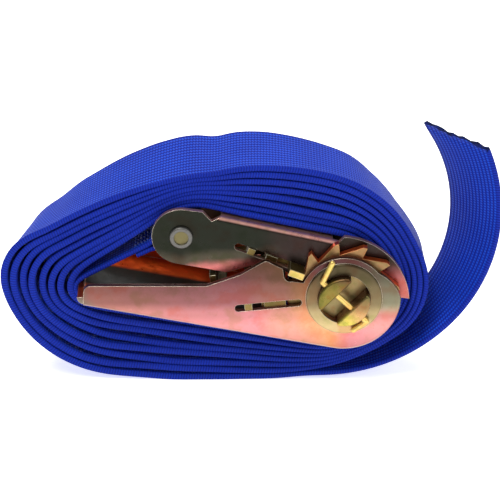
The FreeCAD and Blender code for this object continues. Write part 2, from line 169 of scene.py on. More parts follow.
def strip(name, near, across, outward, fray=0.0, swell=None):
    """A closed tape from the near selvedge's centre line, with UVs in mm across and along it.

    near, across and outward are arrays of points and unit vectors, one row for each station.
    fray pulls the last row in and out by that share of a station. swell is how much thicker
    each face gets at the selvedges where the turns are loose, in mm, less at the far one.
    """
    ring = len(SECTION)
    rows = len(near)
    around = [0.0]
    for i in range(1, ring + 1):
        around.append(around[-1] + math.dist(SECTION[i - 1], SECTION[i % ring]))
    run = np.concatenate([[0], np.cumsum(np.linalg.norm(np.diff(near, axis=0), axis=1))])
    verts = []
    for i in range(rows):
        for a, h in SECTION:
            if swell is not None:
                near_edge = max(0.0, 1 - a / SELVEDGE) ** 2
                far_edge = max(0.0, 1 - (WIDTH - a) / SELVEDGE) ** 2
                h += math.copysign(swell[i], h) * (near_edge + FAR_SWELL * far_edge)
            point = near[i] + across[i] * a + outward[i] * h
            if fray and i == rows - 1:
                point = point + (near[i] - near[i - 1]) * fray * rng.uniform(-1.0, 1.0)
            verts.append(tuple(point * MM))
    faces = []
    uvs = []
    for i in range(rows - 1):
        for j in range(ring):
            k = (j + 1) % ring
            faces.append((i * ring + j, (i + 1) * ring + j, (i + 1) * ring + k, i * ring + k))
            uvs += [(around[j], run[i]), (around[j], run[i + 1]),
                    (around[j + 1], run[i + 1]), (around[j + 1], run[i])]
    # Each cut end is closed by quads between the two faces of the tape.
    for row, flip in ((0, False), (rows - 1, True)):
        order = end_quads(ring)
        for quad in order:
            quad = quad if flip else quad[::-1]
            faces.append(tuple(row * ring + q for q in quad))
            uvs += [(around[q], run[row]) for q in quad]
    mesh = bpy.data.meshes.new(name)
    mesh.from_pydata(verts, [], faces)
    layer = mesh.uv_layers.new(name="strap")
    layer.data.foreach_set("uv", np.array(uvs, np.float32).ravel())
    mesh.polygons.foreach_set("use_smooth", [True] * len(mesh.polygons))
    mesh.validate()
    mesh.update()
    obj = bpy.data.objects.new(name, mesh)
    bpy.context.scene.collection.objects.link(obj)
    return obj


def end_quads(ring):
    """Quads across the section, pairing each vertex of the upper face with the one below it."""
    upper = list(range(-2, 15))
    quads = []
    for left, right in zip(upper[:-1], upper[1:]):
        a, b = left % ring, right % ring
        c, d = (12 - right + 16) % ring, (12 - left + 16) % ring
        if len({a, b, c, d}) == 4:
            quads.append((a, b, c, d))
    return quads


def flat_frames(points):
    """Across and outward vectors for a line in the XZ plane whose tape runs along +Y."""
    ahead = np.gradient(points, axis=0)
    ahead[:, 1] = 0
    ahead /= np.linalg.norm(ahead, axis=1)[:, None]
    across = np.tile([0.0, 1.0, 0.0], (len(points), 1))
    outward = np.cross(across, ahead)
    return across, outward


def in_plane(points, y=-WIDTH / 2):
    return np.array([(x, y, z) for x, z in points])


# The lead: the sewn eye round the sleeve, then one layer to the grip's tip and under the handle.

def lead_upper_points():
    low_start = along(LOOP_ANGLE, 14.9, -TAPE / 2 - 0.05, ANCHOR)
    low_merge = along(LOOP_ANGLE, 9.0, -TAPE / 2 - 0.05, ANCHOR)
    high_merge = along(LOOP_ANGLE, 9.0, TAPE / 2 + 0.05, ANCHOR)
    high_end = along(LOOP_ANGLE, 15.1, TAPE / 2 + 0.05, ANCHOR)
    first = tangent_bearing(low_merge, ANCHOR, EYE_RADIUS, 1)
    last = tangent_bearing(high_merge, ANCHOR, EYE_RADIUS, -1) + 360
    turn = tangent_bearing(high_end, GRIP, GRIP_WRAP_RADIUS, 1)
    return ([low_start, low_merge] + wrap(EYE_RADIUS, first, last, ANCHOR)
            + [high_merge, high_end]
            + wrap(GRIP_WRAP_RADIUS, turn, SLOPE + 270, GRIP))


def lead_lower_points(coil_start):
    """Under the handle's web, easing down to where the coil's first turn begins."""
    first = polar(GRIP_WRAP_RADIUS, SLOPE + 270, GRIP)
    run = (coil_start[0] - first[0]) / math.cos(math.radians(SLOPE))
    straight = along(SLOPE, run, 0.0, first)
    drop = straight[1] - coil_start[1]
    points = []
    for i in range(31):
        share = i / 30
        x, z = along(SLOPE, run * share, 0.0, first)
        points.append((x, z - drop * smoothstep((share - 0.35) / 0.65)))
    return points


# The coil: eight turns between an inner and an outer outline.

def inner_outline():
    """The hole in which the buckle lies."""
    below = GRIP_WRAP_RADIUS + 1.15
    low = polar(below, SLOPE + 270, GRIP)
    right = along(SLOPE, 69.8, below, GRIP)
    return ([low] + arc(right, (38.6, 28.5), (25.2, 46.4))
            + arc((-9.0, 53.8), (-16.5, 55.3), (-24.0, 52.9), 12)
            + [(-50.4, 35.0)] + arc(polar(below, 150, GRIP), polar(below, 205, GRIP), low, 12))


def outer_outline():
    """The outside of the last turn, at the left up to 2 mm outside the design's block."""
    return (arc((4.0, 0.3), (27.0, 4.6), (46.8, 17.0))
            + arc((46.8, 17.0), (51.6, 30.0), (48.4, 42.0))
            + arc((48.4, 42.0), (39.2, 56.2), (22.3, 65.4))
            + arc((22.3, 65.4), (3.0, 67.8), (-16.9, 65.4))
            + arc((-16.9, 65.4), (-40.2, 58.2), (-61.2, 47.4))
            + arc((-61.2, 47.4), (-70.6, 41.2), (-73.1, 31.0))
            + arc((-73.1, 31.0), (-62.3, 11.6), (-38.0, 1.4)) + [(-22.0, 0.0), (4.0, 0.3)])


def ray_hit(outline, origin, direction):
    """The distance from the origin to a closed outline along a direction."""
    ring = np.array(outline + outline[:1])
    start, step = ring[:-1], np.diff(ring, axis=0)
    to = start - np.array(origin)
    cross = direction[0] * step[:, 1] - direction[1] * step[:, 0]
    cross = np.where(np.abs(cross) < 1e-9, 1e-9, cross)
    reach = (to[:, 0] * step[:, 1] - to[:, 1] * step[:, 0]) / cross
    share = (to[:, 0] * direction[1] - to[:, 1] * direction[0]) / cross
    hits = reach[(share >= -1e-6) & (share <= 1 + 1e-6) & (reach > 0)]
    return float(hits.min())


SPINE_LEFT = (-40.0, 30.0)
SPINE_RIGHT = (23.0, 28.0)


def rays(start_x, step=1.5):
    """Origins and directions once round the coil, anticlockwise from the bottom at start_x."""
    found = []
    span = SPINE_RIGHT[0] - SPINE_LEFT[0]

    def spine(x):
        share = (x - SPINE_LEFT[0]) / span
        return (x, SPINE_LEFT[1] + (SPINE_RIGHT[1] - SPINE_LEFT[1]) * share)

    fan = 5.0
    x = start_x
    while x < SPINE_RIGHT[0]:
        found.append((spine(x), -90.0))
        x += step
    found += [(SPINE_RIGHT, -90 + fan * i) for i in range(int(180 / fan))]
    x = SPINE_RIGHT[0]
    while x > SPINE_LEFT[0]:
        found.append((spine(x), 90.0))
        x -= step
    found += [(SPINE_LEFT, 90 + fan * i) for i in range(int(180 / fan))]
    x = SPINE_LEFT[0]
    while x < start_x:
        found.append((spine(x), 270.0))
        x += step
    return found


STEP_SHARE = 0.16           # of a turn, in which each turn moves out by one place
LEAVE_SHARE = 0.975         # of the last turn, where the tail leaves the coil
WAVE_SHARE = 0.27           # of the slack between turns, taken up by their waves
DENT_X, DENT_WIDTH, DENT_DEPTH = -10.5, 4.0, 0.9    # the dip along the top of the outer turns
SIDE_WANDER, SIDE_STEP = 0.35, 0.15                 # of the turns along Y
LOOSE_MOST, LOOSE_SHARE = 0.42, 0.34                # swell of the selvedges for the slack


def coil_points():
    """The centre line of all the turns, with small seeded differences between them."""
    inner, outer = inner_outline(), outer_outline()
    around = rays(LEAD_END)
    spans = []
    for origin, degrees in around:
        direction = (math.cos(math.radians(degrees)), math.sin(math.radians(degrees)))
        spans.append((origin, direction, ray_hit(inner, origin, direction) + TAPE / 2,
                      ray_hit(outer, origin, direction) - TAPE / 2))
    waves = [[(rng.uniform(0, math.tau), rng.uniform(0.4, 1.0)) for _ in range(3)]
             for _ in range(TURNS)]
    points = []
    for turn in range(TURNS):
        for index, (origin, direction, low, high) in enumerate(spans):
            share = index / len(spans)
            if turn == TURNS - 1 and share > LEAVE_SHARE:
                break
            place = turn - 1 + smoothstep(share / STEP_SHARE)
            pitch = (high - low) / (TURNS - 1)
            slack = max(0.0, pitch - TAPE)
            wave = sum(size * math.sin(math.tau * share * (n + 2) + phase)
                       for n, (phase, size) in enumerate(waves[turn]))
            ease = smoothstep(min(share, 1 - share) / 0.08)
            inside = 0.0 if turn in (0, TURNS - 1) else WAVE_SHARE
            reach = low + place * pitch + inside * slack * wave * ease
            x = origin[0] + direction[0] * reach
            z = origin[1] + direction[1] * reach
            if direction[1] > 0.9:
                dent = math.exp(-((x - DENT_X) / DENT_WIDTH) ** 2)
                z -= DENT_DEPTH * dent * max(0.0, (turn - 3) / (TURNS - 4))
            shift = (SIDE_WANDER * math.sin(math.tau * share + waves[turn][0][0])
                     + SIDE_STEP * (turn % 2))
            calm = 0.4 if turn == TURNS - 1 else 1.0
            loose = min(LOOSE_MOST, LOOSE_SHARE * slack)
            points.append((x, -WIDTH / 2 + shift * ease * calm, z, loose, place / (TURNS - 1)))
    return points


# The free tail: it leaves the last turn at the lower right, rises and twists to the front.
TAIL_CENTRE = (18.0, 55.0)
TAIL_RADIUS = 53.6
TAIL_ANGLES = (-92.0, 20.0)
TAIL_SPREAD = 1.2
TAIL_TWIST = 49.0
TAIL_TWIST_POWER = 1.5
TAIL_LEAN = 8.1
TAIL_STATIONS = 60
LEFT_LEAN, LEFT_LEAN_FROM, LEFT_LEAN_RUN = 6.5, -44.0, 26.0
# How much higher than the near edge the outer turn's far edge lies along its top: (x, lift) in mm.
TOP_LIFT = ((-46, 0.0), (-37, 1.6), (-28, 2.6), (-20, 2.8), (-15, 2.3), (-11, 1.2), (-6, 1.5),
            (4, 0.9), (12, 0.0), (24, -1.4), (36, -1.8), (48, 0.0))
RIGHT_LEAN, RIGHT_LEAN_FROM, RIGHT_LEAN_RUN = 3.6, 24.0, 20.0


def coil_and_tail():
    """Near selvedge, across and outward vectors, and swell, for the turns and the tail."""
    rows = [(*point, 0.0) for point in coil_points()]
    for station in range(1, TAIL_STATIONS + 1):
        share = station / TAIL_STATIONS
        angle = TAIL_ANGLES[0] + share * (TAIL_ANGLES[1] - TAIL_ANGLES[0])
        radius = TAIL_RADIUS - TAPE / 2 + TAIL_SPREAD * math.sin(math.pi * share)
        x, z = polar(radius, angle, TAIL_CENTRE)
        rows.append((x, -WIDTH / 2, z, 0.12, 1.0, share))
    rows = resampled(np.array(rows), 1.6, 3)
    line, share = rows[:, :3], np.clip(rows[:, 5], 0, 1)
    across, outward = flat_frames(line)
    # At the left end the turns lie closer together on the far side than on the near side.
    reach = np.clip((LEFT_LEAN_FROM - line[:, 0]) / LEFT_LEAN_RUN, 0, 1)
    across[:, 0] += LEFT_LEAN / WIDTH * rows[:, 4] * reach ** 2 * (3 - 2 * reach)
    # Along the top the outer turn's far edge rises and dips.
    lift = np.interp(line[:, 0], *np.array(TOP_LIFT).T)
    outer_turns = np.clip(rows[:, 4] * 2 - 1, 0, 1) ** 2
    top = np.clip((line[:, 2] - 27) / 20, 0, 1) * outer_turns * (share == 0)
    across[:, 2] += np.convolve(lift * top, np.ones(3) / 3, "same") / WIDTH
    reach = np.clip((line[:, 0] - RIGHT_LEAN_FROM) / RIGHT_LEAN_RUN, 0, 1)
    across[:, 0] -= RIGHT_LEAN / WIDTH * top * reach ** 2 * (3 - 2 * reach)
    across /= np.linalg.norm(across, axis=1)[:, None]
    twist = np.radians(TAIL_TWIST * share ** TAIL_TWIST_POWER)[:, None]
    twisted = across * np.cos(twist) - outward * np.sin(twist)
    twisted[:, 2] += share ** 2 * TAIL_LEAN / WIDTH
    facing = outward * np.cos(twist) + across * np.sin(twist)
    return line, twisted, facing, rows[:, 3]


# ---------------------------------------------------------------- materials

class Tree:
    """Short calls for building one material's nodes."""

    SETTINGS = ("operation", "data_type", "blend_type", "uv_map", "samples")

    def __init__(self, name):
        self.material = bpy.data.materials.new(name)
        self.material.use_nodes = True
        self.nodes = self.material.node_tree.nodes
        self.links = self.material.node_tree.links
        self.shader = self.nodes["Principled BSDF"]

    def add(self, kind, **inputs):
        node = self.nodes.new("ShaderNode" + kind)
        for key, value in inputs.items():
            if key in self.SETTINGS:
                setattr(node, key, value)
        for key, value in inputs.items():
            if key in self.SETTINGS:
                continue
            numbered = key[0] == "i" and key[1:].isdigit()
            self.put(node.inputs[int(key[1:]) if numbered else key.replace("_", " ")], value)
        return node

    def put(self, socket, value):
        if isinstance(value, bpy.types.Node):
            value = value.outputs[0]
        if isinstance(value, bpy.types.NodeSocket):
            self.links.new(value, socket)
        elif socket.type == "RGBA" and len(value) == 3:
            socket.default_value = (*value, 1.0)
        else:
            socket.default_value = value

    def math(self, operation, first, second=0.0, third=0.0):
        return self.add("Math", operation=operation, i0=first, i1=second, i2=third)

    def ramp(self, factor, stops, smooth=True):
        node = self.nodes.new("ShaderNodeValToRGB")
        node.color_ramp.interpolation = "EASE" if smooth else "LINEAR"
        elements = node.color_ramp.elements
        while len(elements) > 1:
            elements.remove(elements[-1])
        elements[0].position = stops[0][0]
        elements[0].color = (*stops[0][1], 1)
        for position, colour in stops[1:]:
            elements.new(position).color = (*colour, 1)
        self.put(node.inputs[0], factor)
        return node

    def mix(self, factor, first, second, blend="MIX"):
        node = self.add("Mix", data_type="RGBA", blend_type=blend)
        self.put(node.inputs[0], factor)
        self.put(node.inputs[6], first)
        self.put(node.inputs[7], second)
        return node.outputs[2]

    def set(self, **values):
        for key, value in values.items():
            self.put(self.shader.inputs[key.replace("_", " ")], value)


def rgb(red, green, blue):
    """Linear values for a colour given in 0..255 display values."""
    out = []
    for value in (red, green, blue):
        share = value / 255
        out.append(share / 12.92 if share <= 0.04045 else ((share + 0.055) / 1.055) ** 2.4)
    return tuple(out)


def webbing_material():
    """Plain-woven polyester: lengthwise ribs crossed by picks, finer chevrons on the selvedges."""
    tree = Tree("blue_polyester_webbing")
    uv = tree.add("UVMap", uv_map="strap")
    wobble = tree.add("TexNoise", Vector=uv, Scale=0.35, Detail=3.0)
    parts = tree.add("SeparateXYZ", Vector=uv)
    round_it, along_it = parts.outputs[0], parts.outputs[1]
    rib_phase = tree.math("MULTIPLY", round_it, math.tau / RIB)
    rib = tree.math("ABSOLUTE", tree.math("SINE", tree.math("MULTIPLY", rib_phase, 0.5)))
    drift = tree.math("MULTIPLY", wobble.outputs[0], 1.6)
    stagger = tree.math("MULTIPLY", tree.math("SINE", rib_phase), 0.9)
    pick_phase = tree.math("ADD", tree.math("MULTIPLY", along_it, math.tau / PICK),
                           tree.math("ADD", drift, stagger))
    pick = tree.math("ADD", tree.math("MULTIPLY", tree.math("SINE", pick_phase), 0.5), 0.5)
    face = tree.math("ADD", tree.math("MULTIPLY", rib, 0.55), tree.math("MULTIPLY", pick, 0.35))
    # Selvedges: the chevrons of the turned-back picks.
    slant = tree.math("MULTIPLY", tree.math("PINGPONG", round_it, 1.0), 2.4)
    turned = tree.math("SINE", tree.math("ADD", slant, tree.math("MULTIPLY", along_it,
                                                                 math.tau / SELVEDGE_PICK)))
    border = tree.math("ADD", tree.math("MULTIPLY", turned, 0.18), 0.40)
    flat_run, side_run = SECTION_RUNS
    near_side = tree.math("ABSOLUTE", tree.math("SUBTRACT", round_it, flat_run + side_run / 2))
    far_side = tree.math("ABSOLUTE", tree.math("SUBTRACT", round_it,
                                               2 * flat_run + side_run * 1.5))
    side = tree.math("MINIMUM", near_side, far_side)
    on_side = tree.add("MapRange", Value=side, From_Min=side_run / 2 + 0.5,
                       From_Max=side_run / 2 + 0.1).outputs[0]
    height = tree.math("ADD", tree.math("MULTIPLY", face, tree.math("SUBTRACT", 1.0, on_side)),
                       tree.math("MULTIPLY", border, on_side))
    fibre = tree.add("TexNoise", Vector=uv, Scale=5.0, Detail=4.0)
    height = tree.math("ADD", height, tree.math("MULTIPLY", fibre.outputs[0], 0.25))
    # Painted shade: the blue darkens with the weave's height, deepest in the grooves, and the lower
    # selvedge heights make the selvedges darker.
    thread = tree.ramp(height, [(0.25, rgb(7, 20, 104)), (0.60, rgb(11, 38, 150)),
                                (0.90, rgb(13, 66, 186)), (1.0, rgb(22, 82, 206))])
    large = tree.add("TexNoise", Vector=uv, Scale=0.06, Detail=2.0)
    shade = tree.ramp(large.outputs[0], [(0.3, (0.80, 0.82, 0.88)), (0.7, (1.0, 1.0, 1.0))])
    colour = tree.mix(1.0, thread.outputs[0], shade.outputs[0], "MULTIPLY")
    bump = tree.add("Bump", Strength=0.6, Distance=0.00018, Height=height)
    rough = tree.ramp(height, [(0.3, (0.82,) * 3), (1.0, (0.58,) * 3)])
    tree.set(Base_Color=colour, Roughness=rough, Normal=bump,
             Sheen_Weight=0.02, Sheen_Roughness=0.4, Specular_IOR_Level=0.14)
    return tree.material


def melted_material():
    """The heat-cut end: fused, darker and glossier fibre."""
    tree = Tree("blue_melted_edge")
    where = tree.add("TexCoord")
    lumps = tree.add("TexNoise", Vector=where.outputs[3], Scale=900.0, Detail=3.0)
    colour = tree.ramp(lumps.outputs[0], [(0.35, rgb(4, 10, 46)), (0.7, rgb(12, 28, 92))])
    bump = tree.add("Bump", Strength=0.7, Distance=0.0003, Height=lumps.outputs[0])
    tree.set(Base_Color=colour, Roughness=0.7, Normal=bump,
             Specular_IOR_Level=0.08)
    return tree.material


def thread_material():
    tree = Tree("blue_sewing_thread")
    where = tree.add("TexCoord")
    twist = tree.add("TexNoise", Vector=where.outputs[3], Scale=2500.0, Detail=2.0)
    colour = tree.ramp(twist.outputs[0], [(0.3, rgb(18, 40, 130)), (0.7, rgb(60, 96, 205))])
    tree.set(Base_Color=colour, Roughness=0.6, Sheen_Weight=0.3)
    return tree.material


class Surface:
    """Where a point of a part is and which way it faces, as node outputs, for placing colours."""

    def __init__(self, tree):
        self.tree = tree
        source = tree.add("TexCoord")
        self.where = source.outputs[3]
        self.x, self.y, self.z = tree.add("SeparateXYZ", i0=self.where).outputs
        self.nx, self.ny, self.nz = tree.add("SeparateXYZ", i0=source.outputs[1]).outputs
        self.depth = tree.math("ABSOLUTE", self.y)

    def between(self, value, low, high):
        """0 below low, 1 above high, smooth between; low above high turns it round."""
        ramp = self.tree.add("MapRange", Value=value, From_Min=low, From_Max=high)
        ramp.interpolation_type = "SMOOTHSTEP"
        return ramp.outputs[0]

    def inner(self):
        """1 on faces that look towards the middle plane."""
        return self.between(self.tree.math("MULTIPLY", self.y, self.ny), 0.0, -0.002)

    def tone(self):
        """Painted dark reflection on a side face by its height: full near the bottom, dark from 35
        mm up.
        """
        level = self.tree.math("MULTIPLY", self.z, 20.0)
        steps = [(0.28, 0.52), (0.42, 0.74), (0.50, 0.54), (0.58, 0.26), (0.66, 0.19),
                 (0.74, 0.11), (0.86, 0.08)]
        return self.tree.ramp(level, [(at, (value,) * 3) for at, value in steps]).outputs[0]

    def radius(self, centre):
        """Distance in metres from an axis along Y through a point given in mm."""
        dx = self.tree.math("SUBTRACT", self.x, centre[0] * MM)
        dz = self.tree.math("SUBTRACT", self.z, centre[1] * MM)
        return self.tree.math("SQRT", self.tree.math(
            "ADD", self.tree.math("MULTIPLY", dx, dx), self.tree.math("MULTIPLY", dz, dz)))


def plated_material(name, direction, offset, stops, patch, scale, edge, gloss, accents):
    """Iridescent zinc passivate: colour bands along a direction, drifting with slow noise.

    The bands' ramp runs over position . direction + offset. accents(surface, colour) adds the
    colours of one face or place, painted highlights, shade and dark reflection among them, and
    returns the new colour.
    """
    tree = Tree(name)
    surface = Surface(tree)
    where = surface.where
    place = tree.add("VectorMath", operation="DOT_PRODUCT", i0=where, i1=direction)
    slow = tree.add("TexNoise", Vector=where, Scale=scale, Detail=3.0, Distortion=0.6)
    swirl = tree.math("MULTIPLY", tree.math("SUBTRACT", slow.outputs[0], 0.5), patch * 2)
    factor = tree.math("ADD", tree.math("ADD", place.outputs[1], offset), swirl)
    colour = tree.ramp(factor, stops).outputs[0]
    colour = accents(surface, colour)
    tint = tree.add("TexNoise", Vector=where, Scale=scale * 2.7, Detail=5.0, Roughness=0.6)
    hue = tree.ramp(tint.outputs[0], [(0.34, rgb(214, 232, 190)), (0.5, (1.0, 1.0, 1.0)),
                                      (0.66, rgb(255, 214, 196))])
    colour = tree.mix(0.6, colour, hue.outputs[0], "MULTIPLY")
    # Stamped edges are a little rounded and painted pale in the edge colour as edge highlights.
    soft = tree.add("Bevel", samples=6, Radius=0.0003)
    sharp = tree.add("NewGeometry")
    turn = tree.add("VectorMath", operation="DOT_PRODUCT", i0=soft, i1=sharp.outputs[1])
    edge_highlight = surface.between(turn.outputs[1], 0.985, 0.85)
    colour = tree.mix(tree.math("MULTIPLY", edge_highlight, 0.7), colour, edge)
    grain = tree.add("TexNoise", Vector=where, Scale=420.0, Detail=6.0, Roughness=0.7)
    rough = tree.ramp(grain.outputs[0], [(0.3, (gloss,) * 3), (0.75, (gloss + 0.16,) * 3)])
    bump = tree.add("Bump", Strength=0.2, Distance=0.00006, Height=grain.outputs[0], Normal=soft)
    # Dull plating inside the channels scatters more of the light than it mirrors.
    dull = tree.math("SUBTRACT", 0.88, tree.math("MULTIPLY", surface.inner(), 0.6))
    tree.set(Base_Color=colour, Roughness=rough, Normal=bump, Metallic=dull)
    return tree.material


def steel_material(name, tone, roughness, accents=None):
    """Plain or clear-plated steel with a fine grain."""
    tree = Tree(name)
    surface = Surface(tree)
    grain = tree.add("TexNoise", Vector=surface.where, Scale=700.0, Detail=5.0)
    colour = tree.ramp(grain.outputs[0], [(0.3, tuple(0.8 * c for c in tone)), (0.7, tone)])
    colour = colour.outputs[0]
    if accents:
        colour = accents(surface, colour)
    soft = tree.add("Bevel", samples=6, Radius=0.0003)
    bump = tree.add("Bump", Strength=0.3, Distance=0.00005, Height=grain.outputs[0], Normal=soft)
    gloss = tree.ramp(grain.outputs[0], [(0.3, (roughness,) * 3), (0.75, (roughness + 0.15,) * 3)])
    tree.set(Base_Color=colour, Roughness=gloss, Normal=bump, Metallic=0.9)
    return tree.material


# Olive plating darkened as painted dark reflection, for the frame's upper part.
OLIVE_IN_DARK_REFLECTION = rgb(31, 33, 25)
ROSE = rgb(192, 110, 106)
ROSE_DARK = rgb(168, 94, 86)
PINK = rgb(246, 158, 160)
GOLD = rgb(255, 180, 128)
GREENISH = rgb(196, 184, 160)
COPPER = rgb(226, 92, 28)
BEIGE = rgb(218, 192, 138)
# Painted edge highlight colour.
PALE_EDGE_HIGHLIGHT = rgb(226, 212, 190)


def frame_accents(surface, colour):
    """Pale rose on the bend that faces up as a painted highlight, dark olive to the upper right as
    painted dark reflection, dark olive inside.
    """
    mix, between, times = surface.tree.mix, surface.between, surface.tree.math
    # Painted dark reflection: the upper right, outside the lobe, goes nearly black brown.
    right = times("MULTIPLY", between(surface.x, 0.001, 0.011), between(surface.z, 0.027, 0.033))
    lobe = times("MULTIPLY", between(surface.x, 0.034, 0.040), between(surface.z, 0.040, 0.031))
    right = times("MULTIPLY", right, times("SUBTRACT", 1.0, lobe))
    colour = mix(right, colour, rgb(46, 36, 33))
    # Painted highlight: pale rose on the faces turned up.
    colour = mix(between(surface.nz, 0.25, 0.6), colour, rgb(214, 158, 146))
    return mix(surface.inner(), colour, rgb(90, 66, 48))


def handle_accents(surface, colour):
    """Copper inside the plates, dark green on the web, beige bosses, painted dark reflection higher
    up, a painted highlight on the bottom bend.
    """
    mix, between, times = surface.tree.mix, surface.between, surface.tree.math
    rim = times("MULTIPLY", between(surface.x, 0.030, 0.040), between(surface.z, 0.024, 0.028))
    colour = mix(rim, colour, rgb(214, 206, 168))
    boss = times("MULTIPLY", between(surface.radius(SPINDLE), 0.0115, 0.0109),
                 between(surface.depth, 0.0203, 0.0205))
    colour = mix(boss, colour, BEIGE)
    # Painted dark reflection: darker higher up, by height.
    colour = mix(1.0, colour, surface.tone(), "MULTIPLY")
    # Painted highlight: pale on the faces that turn down.
    colour = mix(between(surface.nz, -0.35, -0.8), colour, rgb(216, 190, 172))
    colour = mix(surface.inner(), colour, COPPER)
    web = times("MULTIPLY", between(surface.nz, 0.5, 0.8), between(surface.depth, 0.0190, 0.0184))
    colour = mix(web, colour, COPPER)
    middle = times("MULTIPLY", web, between(surface.depth, 0.0090, 0.0065))
    return mix(middle, colour, rgb(40, 42, 34))


def spindle_accents(surface, colour):
    """Brown and copper in the slot, gold on the ends, with painted dark reflection higher up."""
    mix, between = surface.tree.mix, surface.between
    colour = mix(between(surface.depth, 0.0238, 0.0215), colour, rgb(190, 120, 70))
    # Painted dark reflection: darker higher up, by height.
    return mix(1.0, colour, surface.tone(), "MULTIPLY")


def wheel_accents(surface, colour):
    """Red copper on the teeth's flanks, between the two flat faces."""
    mix, between = surface.tree.mix, surface.between
    flank = between(surface.tree.math("ABSOLUTE", surface.ny), 0.7, 0.3)
    return mix(flank, colour, rgb(214, 92, 44))


def pawl_accents(surface, colour):
    """Painted shade: darker olive between the plates."""
    mix, between = surface.tree.mix, surface.between
    return mix(between(surface.depth, 0.0212, 0.0200), colour, rgb(104, 88, 48))


def rivet_accents(surface, colour):
    """An olive stain in the dimple."""
    mix, between = surface.tree.mix, surface.between
    dimple = between(surface.radius(ANCHOR), 0.0023, 0.0019)
    return mix(dimple, colour, rgb(104, 96, 64))


def plated_materials():
    """One finish for each slot of the record, its bands placed along the part's own length."""
    return {
        # The frame's bands: dark olive high up, partly painted dark reflection, rose lower down.
        "zinc_frame": plated_material(
            "zinc_frame_olive_rose", (4.0, 0.0, -38.0), 2.10,
            [(0.0, OLIVE_IN_DARK_REFLECTION), (0.38, OLIVE_IN_DARK_REFLECTION), (0.52, rgb(70, 64, 52)), (0.66, ROSE),
             (0.9, rgb(176, 104, 104)), (1.0, ROSE_DARK)],
            0.14, 55.0, PALE_EDGE_HIGHLIGHT, 0.26, frame_accents),
        "zinc_handle": plated_material(
            "zinc_handle_pink_gold", (10.0, 0.0, 6.0), 0.35,
            [(0.0, GREENISH), (0.09, rgb(240, 160, 146)), (0.34, rgb(236, 154, 154)),
             (0.50, PINK), (0.60, rgb(248, 168, 150)), (0.68, GOLD), (0.76, PINK),
             (0.90, rgb(240, 164, 156)), (1.0, rgb(226, 180, 160))],
            0.12, 48.0, PALE_EDGE_HIGHLIGHT, 0.27, handle_accents),
        "zinc_spindle": plated_material(
            "zinc_spindle_gold_green", (60.0, 0.0, 30.0), -2.0,
            [(0.0, rgb(186, 178, 84)), (0.4, rgb(255, 226, 110)), (0.7, rgb(255, 200, 132)),
             (1.0, rgb(206, 186, 116))],
            0.5, 160.0, rgb(232, 222, 184), 0.24, spindle_accents),
        # The wheel's tan and copper stops are darkened as painted shade.
        "zinc_wheel": plated_material(
            "zinc_wheel_tan_copper", (0.0, 0.0, 30.0), -0.7,
            [(0.0, rgb(134, 120, 80)), (0.5, rgb(138, 108, 72)), (1.0, rgb(150, 112, 72))],
            0.35, 130.0, rgb(226, 150, 92), 0.28, wheel_accents),
        "zinc_pawl": plated_material(
            "zinc_pawl_gold", (25.0, 0.0, 0.0), 0.4,
            [(0.0, rgb(196, 190, 140)), (0.5, rgb(196, 164, 92)), (1.0, rgb(214, 184, 104))],
            0.35, 120.0, rgb(228, 226, 196), 0.28, pawl_accents),
        "spring_steel": steel_material("drawn_spring_wire", rgb(150, 150, 148), 0.28),
        "rivet_steel": steel_material("clear_zinc_rivet", rgb(104, 102, 98), 0.34, rivet_accents),
    }


# ---------------------------------------------------------------- the webbing pieces

webbing = webbing_material()
coil_line, coil_across, coil_outward, coil_swell = coil_and_tail()

upper = resampled(in_plane(lead_upper_points()), 0.9, 3)
lead_upper = strip("strap_sewn_end", upper, *flat_frames(upper))
lead_upper.data.materials.append(webbing)
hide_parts("webbing_loop")
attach(lead_upper, "frame")

first_turn = (coil_line[0][0], coil_line[0][2])
lower = resampled(in_plane(lead_lower_points(first_turn)), 1.6, 1)
lead_lower = strip("strap_under_handle", lower, *flat_frames(lower))
lead_lower.data.materials.append(webbing)
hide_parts("webbing_lead")
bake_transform(lead_lower)

coil = strip("strap_coil_and_tail", coil_line, coil_across, coil_outward, 0.35, coil_swell)
coil.data.materials.append(webbing)
coil.data.materials.append(melted_material())
end_faces = len(end_quads(len(SECTION)))
for polygon in coil.data.polygons[-end_faces:]:
    polygon.material_index = 1
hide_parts("webbing_coil", "webbing_tail")
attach(coil, "coil")


STITCH_ROWS, STITCH_COLUMNS = 5, 9
STITCH_PITCH, STITCH_LENGTH, FIRST_STITCH = 2.4, 2.0, -10.8


